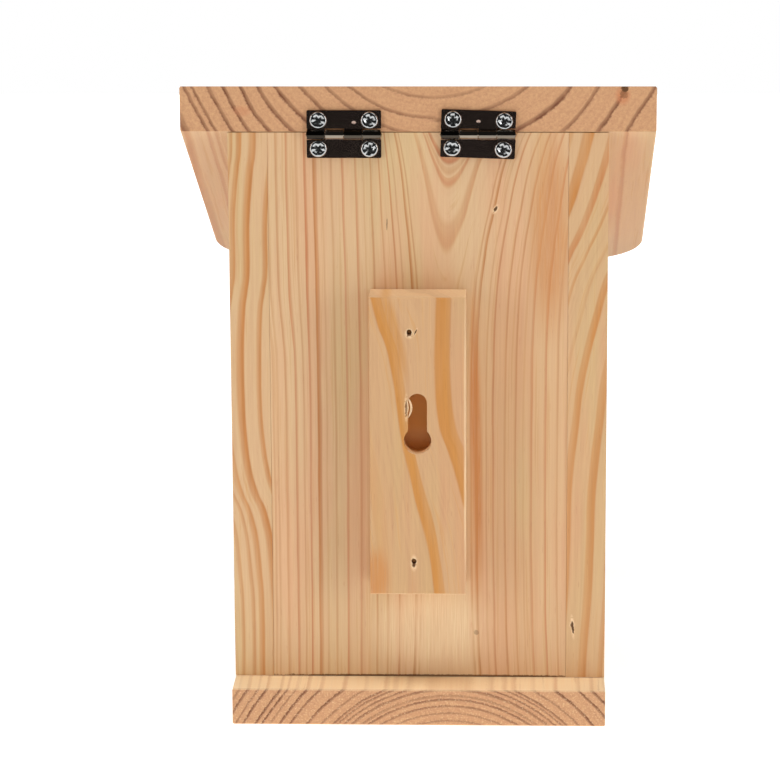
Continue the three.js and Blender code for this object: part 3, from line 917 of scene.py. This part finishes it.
def pale_floor(settings):
    """A pale floor that glows more where the lamps don't reach.

    Behind the box it doesn't, because the hinges mirror that part.
    """
    finish = Finish("pale_floor")
    place = finish.node("ShaderNodeTexCoord", {}, {}, "Object")
    cloud = finish.noise(place, 3.0, 2.0)
    shade = finish.mix(cloud * 0.1, settings.floor, (0.85, 0.85, 0.85))
    x, y, _ = finish.parts(place)
    y = y.smaller(GLOW_END)
    far = finish.smooth((x * x + y * y) ** 0.5, *GLOW_SPAN)
    light = finish.mix(far, (1, 1, 1), (2, 2, 2))
    glow = {"Emission Color": light, "Emission Strength": settings.floor_glow}
    return finish.surface({"Base Color": shade, "Roughness": 0.8, **glow})


def hang(lamp, power):
    """Hangs a lamp so that it looks at the box."""
    light = bpy.data.lights.new(lamp.name, "AREA")
    light.shape = "RECTANGLE"
    light.size, light.size_y = lamp.width, lamp.height
    light.energy = power * lamp.share
    holder = bpy.data.objects.new(lamp.name, light)
    holder.location = lamp.place
    holder.rotation_mode = "QUATERNION"
    holder.rotation_quaternion = (LAMP_TARGET - Vector(lamp.place)).to_track_quat("-Z", "Y")
    holder.visible_camera = False
    holder.visible_glossy = lamp.glints
    bpy.context.scene.collection.objects.link(holder)


def room(settings):
    """A dark room that the camera sees as a white one."""
    finish = Finish("room", bpy.data.worlds.new("room"))
    seen = finish.node("ShaderNodeLightPath", output="Is Camera Ray")
    shade = finish.mix(seen, (settings.dark,) * 3, (1, 1, 1))
    background = finish.node("ShaderNodeBackground", {}, {"Color": shade})
    bpy.context.scene.world = finish.closed(background, "ShaderNodeOutputWorld")


class FEEDER_OT_stage(bpy.types.Operator):
    """Sets the pale floor, the lamps, the room and the camera"""

    bl_idname = "feeder.stage"
    bl_label = "Stage"

    def execute(self, context):
        settings = context.scene.feeder_stage
        bm = bmesh.new()
        bmesh.ops.create_grid(bm, x_segments=1, y_segments=1, size=1.0)
        middle = (FLOOR_FRONT + FLOOR_BACK) / 2
        bmesh.ops.scale(bm, vec=(FLOOR_HALF_WIDTH, (FLOOR_BACK - FLOOR_FRONT) / 2, 1), verts=bm.verts)
        bmesh.ops.translate(bm, vec=(0, middle, 0), verts=bm.verts)
        floor = new_object("studio_floor", bm)
        floor.data.materials.append(pale_floor(settings))

        for lamp in LAMPS:
            hang(lamp, settings.lamp_power)
        room(settings)

        lens = bpy.data.cameras.new("camera")
        lens.lens = CAMERA_LENS
        lens.clip_start, lens.clip_end = CLIP
        camera = bpy.data.objects.new("camera", lens)
        turn = (
            Matrix.Rotation(CAMERA_HEADING, 4, "Z")
            @ Matrix.Rotation(CAMERA_TILT, 4, "X")
            @ Matrix.Rotation(CAMERA_ROLL, 4, "Z")
        )
        camera.matrix_world = Matrix.Translation(CAMERA_PLACE) @ turn
        context.scene.collection.objects.link(camera)
        context.scene.camera = camera
        context.scene.view_settings.view_transform = "Standard"
        return {"FINISHED"}


# Boards

SHORTEST_BOARD_EDGE = 1.2 * MM


class FEEDER_OT_boards(bpy.types.Operator):
    """Planes the six boards and gives each its grain"""

    bl_idname = "feeder.boards"
    bl_label = "Boards"

    def execute(self, context):
        settings = context.scene.feeder_pine
        for board in BOARDS:
            bm = merged_copy(board.node)
            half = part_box(board.node)[1].x
            bmesh.ops.scale(bm, vec=(1 + board.swell / half, 1, 1), verts=bm.verts)
            round_edges(bm, settings.edge_round, SHORTEST_BOARD_EDGE)
            name = f"planed_{board.node}"
            new_piece(name, bm, board.body, board.slot, Pine(board, settings).finished(), [board.node])
        return {"FINISHED"}


# Torn fibres at the keyhole

# Foot, tip, radius and sideways bow of each, in millimetres
FIBRES = (
    ((3.4, 102.7, 121.2), (3.3, 102.6, 113.6), 0.42, -1.2),
    ((3.8, 102.8, 120.6), (3.5, 102.7, 115.2), 0.3, -0.3),
)
FIBRE_TURNS = 8
FIBRE_STEPS = 14


def torn_fibre(bm, foot, tip, radius, bow):
    """A thin splinter from foot to tip that bows out sideways."""
    foot, tip = Vector(foot) * MM, Vector(tip) * MM
    reach = (tip - foot).length
    turn = (tip - foot).to_track_quat("Z", "X").to_matrix()
    made = bmesh.ops.create_uvsphere(bm, u_segments=FIBRE_TURNS, v_segments=FIBRE_STEPS, radius=1.0)
    for vert in made["verts"]:
        share = vert.co.z
        thick = turn @ Vector((vert.co.x * radius * MM, vert.co.y * radius * MM, share * reach / 2))
        vert.co = foot.lerp(tip, 0.5) + thick
        vert.co.x += bow * MM * math.cos(share * math.pi / 2)


class FEEDER_OT_fibres(bpy.types.Operator):
    """Leaves the torn fibres at the keyhole's edge"""

    bl_idname = "feeder.fibres"
    bl_label = "Torn fibres"

    def execute(self, context):
        settings = context.scene.feeder_pine
        finish = Finish("torn_wood")
        strands = finish.noise(finish.place(), 1.5, 3.0)
        tone = finish.mix(strands, settings.torn, settings.pale)
        torn = finish.surface({"Base Color": tone, "Roughness": 0.8}, strands, settings.fibre_depth)
        bm = bmesh.new()
        for fibre in FIBRES:
            torn_fibre(bm, *fibre)
        new_piece("torn_keyhole_fibres", bm, "box", "pine", torn)
        return {"FINISHED"}


# Hinges


SMEAR_SCALE, SMEAR_SHADE = 0.25, 0.7
RUB_SCALE, RUB_DEPTH = 1.6, 0.4
PIT_SCALE, PIT_SHADE, PIT_SPAN = 3.0, 0.45, (0.68, 0.75)
DENT_RADIUS, DENT_DEPTH, DENT_ROUGH = 0.9, 55.0, 0.25
DENTS = ((22.4, 216.2), (-21.3, 216.6))
KNUCKLE_WIDTH = 6.5
KNUCKLE_FRONT = 88.3
# Where each hinge's knuckles start, and how brightly each is painted, from the photograph's right to its
# left: the darker ones are painted shade that dims their reflections
KNUCKLE_SHADES = ((-34.2, (0.5, 0.55, 0.75, 0.14)), (12.9, (0.3, 0.2, 0.75, 0.09)))
# The painted shade on a knuckle is also a little yellower than the plate
KNUCKLE_SHADE_TINT = (1.0, 1.18, 1.15)
KNUCKLE_BLEND = 0.03
PLATING_RELIEF = 0.004 * MM


def plated(name, shade, roughness, wear, dents=(), knuckles=()):
    """Polished plating with faint scratches and smears, dents at (x, z) and knuckles darkened one by one with
    painted shade.
    """
    finish = Finish(name)
    scaled = finish.place()
    x, y, z = finish.parts(scaled)
    smears = finish.noise(scaled, SMEAR_SCALE, 3.0)
    rubbed = finish.noise(finish.vector(x * 0.3, y, z * 2.5), RUB_SCALE, 4.0, 0.7)
    pits = finish.smooth(finish.noise(scaled, PIT_SCALE), *PIT_SPAN)
    dull = finish.mix(pits * 0.5, shade, [PIT_SHADE * part for part in shade])
    tone = finish.mix(smears * 0.3, dull, [SMEAR_SHADE * part for part in shade])
    rough = roughness + (smears - 0.4).larger(0) * wear + (rubbed - 0.5).larger(0) * (0.6 * wear)
    height = (rubbed - 0.5) * RUB_DEPTH
    for across, up in dents:
        far = ((x - across) * (x - across) + (z - up) * (z - up)) ** 0.5
        dent = finish.fall(far, 0.0, DENT_RADIUS)
        height = height - dent * DENT_DEPTH
        rough = rough + dent * DENT_ROUGH
    # Painted shade: each knuckle's colour is scaled down, so that its reflections show dimmer.
    for start, shades in knuckles:
        share = (x - start) / (len(shades) * KNUCKLE_WIDTH)
        stops = []
        for i, knuckle_brightness in enumerate(shades):
            tint = opaque([knuckle_brightness * part for part in KNUCKLE_SHADE_TINT])
            stops.append(((i + KNUCKLE_BLEND) / len(shades), tint))
            stops.append(((i + 1 - KNUCKLE_BLEND) / len(shades), tint))
        knuckle_shade = finish.node("ShaderNodeValToRGB", {"stops": stops}, {"Fac": share})
        here = finish.smooth(y, KNUCKLE_FRONT, KNUCKLE_FRONT + 0.5)
        here = here * finish.fall(abs(share - 0.5), 0.5, 0.6)
        tone = finish.mix(here, tone, knuckle_shade, "MULTIPLY")
    inputs = {"Base Color": tone, "Roughness": rough, "Metallic": 1.0}
    return finish.surface(inputs, height, PLATING_RELIEF)


def hinge_centre(name):
    """Middle of a hinge's pin."""
    low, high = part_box(f"{name}_pin")
    return (low + high) / 2


def hinge_turn(name, settings):
    """Turn of the leaves about the hinge's own middle. The barrel stays in line with the pins."""
    if name != "right_hinge":
        return Matrix.Identity(4)
    centre = hinge_centre(name)
    turn = Matrix.Rotation(-settings.right_hinge_tilt, 4, "Y")
    return Matrix.Translation(centre) @ turn @ Matrix.Translation(-centre)


HINGES = ("left_hinge", "right_hinge")
HINGE_PARTS = {"lid_leaf": "lid", "panel_leaf": "box", "pin": "box"}
# Plate further from the pin than this takes the tilt
BARREL_REACH = 2.9 * MM
LEAF_FACE = 88.0 * MM
# The screws sit a little further from the pin, so that the heads pass each other when the lid is open
SCREW_ROOM = 1.025
SHORTEST_PLATE_EDGE = 0.9 * MM
LARGEST_SMOOTH_PLATE_FACE = 5 * MM * MM


class FEEDER_OT_hinges(bpy.types.Operator):
    """Plates the leaves and pins of both hinges"""

    bl_idname = "feeder.hinges"
    bl_label = "Hinges"

    def execute(self, context):
        settings = context.scene.feeder_hardware
        nickel = plated("polished_nickel", settings.nickel, 0.07, 0.05, DENTS, KNUCKLE_SHADES)
        for hinge in HINGES:
            turn = hinge_turn(hinge, settings)
            for part, body in HINGE_PARTS.items():
                node = f"{hinge}_{part}"
                bm = merged_copy(node)
                round_edges(bm, settings.plate_round, SHORTEST_PLATE_EDGE, 2)
                pin = hinge_centre(hinge)
                plate = [v for v in bm.verts if abs(v.co.z - pin.z) > BARREL_REACH]
                bmesh.ops.transform(bm, matrix=turn, verts=plate)
                name = f"plated_{node}"
                look = (nickel, [node], PLATE_SMOOTH, LARGEST_SMOOTH_PLATE_FACE)
                new_piece(name, bm, body, "hinge_nickel", *look)
        return {"FINISHED"}


# Screws and brads

HEAD_STEPS = 48
HEAD_ROUND_STEPS = 8
# Shares of the head's height that are upright, and of its radius that are flat on top
HEAD_WALL = 0.4
HEAD_FLAT = 0.82
ROUND_AT_45 = 1 - math.sqrt(0.5)
RECESS_TAPER = 0.76
SHANK_RADIUS = 1.1 * MM
TIP_RADIUS = 0.2 * MM
TIP_START = 0.7
SCREW_TURNS = (18, 35, -12, 48, 30, 5, 22, 40)


def head_profile(settings):
    """Side of a pan head, from the leaf up over the shoulder to the middle of the top."""
    radius, height = settings.head_radius, settings.head_height
    points = [(radius, 0.0), (radius, HEAD_WALL * height)]
    for i in range(1, HEAD_ROUND_STEPS + 1):
        turn = math.radians(90 * i / HEAD_ROUND_STEPS)
        out = HEAD_FLAT + (1 - HEAD_FLAT) * math.cos(turn)
        rise = HEAD_WALL + (1 - HEAD_WALL) * math.sin(turn)
        points.append((radius * out, height * rise))
    return [*points, (0.0, height)]


def spun(profile, steps):
    """A closed shape spun about Z from a profile of (radius, height) that starts and ends on the axis."""
    bm = bmesh.new()
    verts = [bm.verts.new((radius, 0, height)) for radius, height in profile]
    edges = [bm.edges.new(pair) for pair in zip(verts, verts[1:])]
    bmesh.ops.spin(
        bm, geom=verts + edges, cent=(0, 0, 0), axis=(0, 0, 1), angle=2 * math.pi, steps=steps, use_merge=True
    )
    bmesh.ops.remove_doubles(bm, verts=bm.verts, dist=0.001 * MM)
    bmesh.ops.recalc_face_normals(bm, faces=bm.faces)
    return bm


def driver_blade(settings, span, width):
    """A tapered blade of a cross-head driver, flared where it has worn the recess's edges round."""
    head, worn = settings.head_height, settings.recess_worn
    low = head - settings.recess_depth
    shoulder = ROUND_AT_45 * worn
    top = head + shoulder
    bm = bmesh.new()
    bmesh.ops.create_cube(bm, size=1.0)
    bmesh.ops.scale(bm, vec=(span, width, top - low), verts=bm.verts)
    bmesh.ops.translate(bm, vec=(0, 0, (top + low) / 2), verts=bm.verts)
    for height in (head - worn, head - shoulder):
        geom = [*bm.verts, *bm.edges, *bm.faces]
        bmesh.ops.bisect_plane(bm, geom=geom, plane_co=(0, 0, height), plane_no=(0, 0, 1))
    foot = [v for v in bm.verts if v.co.z < low + 0.01 * MM]
    bmesh.ops.scale(bm, vec=(RECESS_TAPER, RECESS_TAPER, 1), verts=foot)
    flare = ((head - worn, 0.0), (head - shoulder, shoulder), (top, 2 * worn - shoulder))
    for vert in bm.verts:
        if vert not in foot:
            out = on_route(flare, vert.co.z)
            vert.co.x += math.copysign(out, vert.co.x)
            vert.co.y += math.copysign(out, vert.co.y)
    return bm


def cut(bm, cutter_bm):
    """A bmesh with another cut out of it."""
    body = new_object("cut_body", bm)
    cutter = new_object("cutter", cutter_bm)
    modifier = body.modifiers.new("cut", "BOOLEAN")
    modifier.operation = "DIFFERENCE"
    modifier.solver = "EXACT"
    modifier.object = cutter
    graph = bpy.context.evaluated_depsgraph_get()
    result = bmesh.new()
    result.from_mesh(body.evaluated_get(graph).to_mesh())
    bpy.data.objects.remove(body)
    bpy.data.objects.remove(cutter)
    return result


def screw_shape(settings, length_below):
    """A pan head with a cross recess on a tapered shank, its shoulder at the origin and its head up."""
    profile = [
        (0.0, -length_below),
        (TIP_RADIUS, -length_below),
        (SHANK_RADIUS, -TIP_START * length_below),
        (SHANK_RADIUS, 0.0),
        *head_profile(settings),
    ]
    bm = spun(profile, HEAD_STEPS)
    span, width = settings.recess_span, settings.recess_width
    for blade in (driver_blade(settings, span, width), driver_blade(settings, width, span)):
        bm = cut(bm, blade)
    return bm


class FEEDER_OT_screws(bpy.types.Operator):
    """Drives the eight hinge screws"""

    bl_idname = "feeder.screws"
    bl_label = "Screws"

    def execute(self, context):
        settings = context.scene.feeder_hardware
        zinc = plated("bright_zinc", settings.zinc, 0.06, 0.06)
        names = [
            (hinge, leaf, f"{hinge}_{leaf}_screw_{number}")
            for hinge in HINGES
            for leaf in ("lid", "panel")
            for number in (1, 2)
        ]
        for (hinge, leaf, node), twist in zip(names, SCREW_TURNS):
            low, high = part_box(node)
            middle = (low + high) / 2
            pin = hinge_centre(hinge)
            shoulder = Vector((middle.x, LEAF_FACE, pin.z + SCREW_ROOM * (middle.z - pin.z)))
            bm = screw_shape(settings, shoulder.y - low.y)
            place = (
                hinge_turn(hinge, settings)
                @ Matrix.Translation(shoulder)
                @ Matrix.Rotation(math.radians(-90), 4, "X")
                @ Matrix.Rotation(math.radians(twist), 4, "Z")
            )
            bmesh.ops.transform(bm, matrix=place, verts=bm.verts)
            body = "lid" if leaf == "lid" else "box"
            name = f"zinc_{node}"
            look = (zinc, [node], SCREW_SMOOTH, LARGEST_SMOOTH_PLATE_FACE)
            new_piece(name, bm, body, "screw_zinc", *look)
        return {"FINISHED"}


class FEEDER_OT_brads(bpy.types.Operator):
    """Gives the sunk brads their dull steel"""

    bl_idname = "feeder.brads"
    bl_label = "Brads"

    def execute(self, context):
        settings = context.scene.feeder_hardware
        steel = plated("brad_steel", settings.steel, 0.4, 0.3)
        for name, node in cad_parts.items():
            if name.endswith(("_brad", "_brad_1", "_brad_2", "_brad_3")):
                node.data.materials.clear()
                node.data.materials.append(steel)
        return {"FINISHED"}


# Window


SCRATCH_SPAN = (0.62, 0.8)
EDGE_FACING = (0.4, 0.9)
EDGE_HOLD, SCRATCH_HOLD = 0.4, 0.015
EDGE_TINT = (0.72, 0.88, 0.86)


def clear_sheet(settings):
    """Clear acrylic: almost nothing to see on its faces, and a brighter line on its edges."""
    finish = Finish("clear_acrylic")
    scaled = finish.place()
    _, ny, _ = finish.parts(finish.node("ShaderNodeTexCoord", {}, {}, "Normal"))
    x, y, z = finish.parts(scaled)
    smears = finish.noise(scaled, 0.06, 3.0)
    scratches = finish.smooth(finish.noise(finish.vector(x * 0.15, y, z * 0.8), 0.9), *SCRATCH_SPAN)
    edge = finish.fall(abs(ny), *EDGE_FACING)
    hold = settings.clearness + edge * EDGE_HOLD + scratches * SCRATCH_HOLD
    rough = 0.04 + smears * 0.04 + scratches * 0.06
    tint = finish.mix(edge, settings.tint, EDGE_TINT)
    return finish.surface({"Base Color": tint, "Roughness": rough, "Alpha": hold, "IOR": 1.49})


class FEEDER_OT_window(bpy.types.Operator):
    """Polishes the clear front window"""

    bl_idname = "feeder.window"
    bl_label = "Window"

    def execute(self, context):
        settings = context.scene.feeder_window
        bm = merged_copy("front_window")
        round_edges(bm, settings.edge_round, SHORTEST_BOARD_EDGE)
        sheet = clear_sheet(settings)
        new_piece("polished_front_window", bm, "window", "clear_sheet", sheet, ["front_window"])
        return {"FINISHED"}


OPERATORS = (
    FEEDER_OT_stage,
    FEEDER_OT_boards,
    FEEDER_OT_fibres,
    FEEDER_OT_hinges,
    FEEDER_OT_screws,
    FEEDER_OT_brads,
    FEEDER_OT_window,
)
SETTINGS = {
    "feeder_pine": PineSettings,
    "feeder_hardware": HardwareSettings,
    "feeder_window": WindowSettings,
    "feeder_stage": StageSettings,
}


class FEEDER_PT_panel(bpy.types.Panel):
    """Lists the feeder's settings and its steps"""

    bl_idname = "FEEDER_PT_panel"
    bl_label = "Squirrel feeder box"
    bl_space_type = "VIEW_3D"
    bl_region_type = "UI"
    bl_category = "Feeder"

    def draw(self, context):
        for name, group in SETTINGS.items():
            column = self.layout.column(align=True)
            for prop in group.__annotations__:
                column.prop(getattr(context.scene, name), prop)
        for operator in OPERATORS:
            self.layout.operator(operator.bl_idname)


def register():
    for group in SETTINGS.values():
        bpy.utils.register_class(group)
    for name, group in SETTINGS.items():
        setattr(bpy.types.Scene, name, PointerProperty(type=group))
    for cls in (*OPERATORS, FEEDER_PT_panel):
        bpy.utils.register_class(cls)


def unregister():
    for cls in (FEEDER_PT_panel, *reversed(OPERATORS)):
        bpy.utils.unregister_class(cls)
    for name in SETTINGS:
        delattr(bpy.types.Scene, name)
    for group in reversed(SETTINGS.values()):
        bpy.utils.unregister_class(group)


def main():
    register()
    bpy.ops.feeder.stage()
    bpy.ops.feeder.boards()
    bpy.ops.feeder.fibres()
    bpy.ops.feeder.hinges()
    bpy.ops.feeder.screws()
    bpy.ops.feeder.brads()
    bpy.ops.feeder.window()


if __name__ == "__main__":
    main()
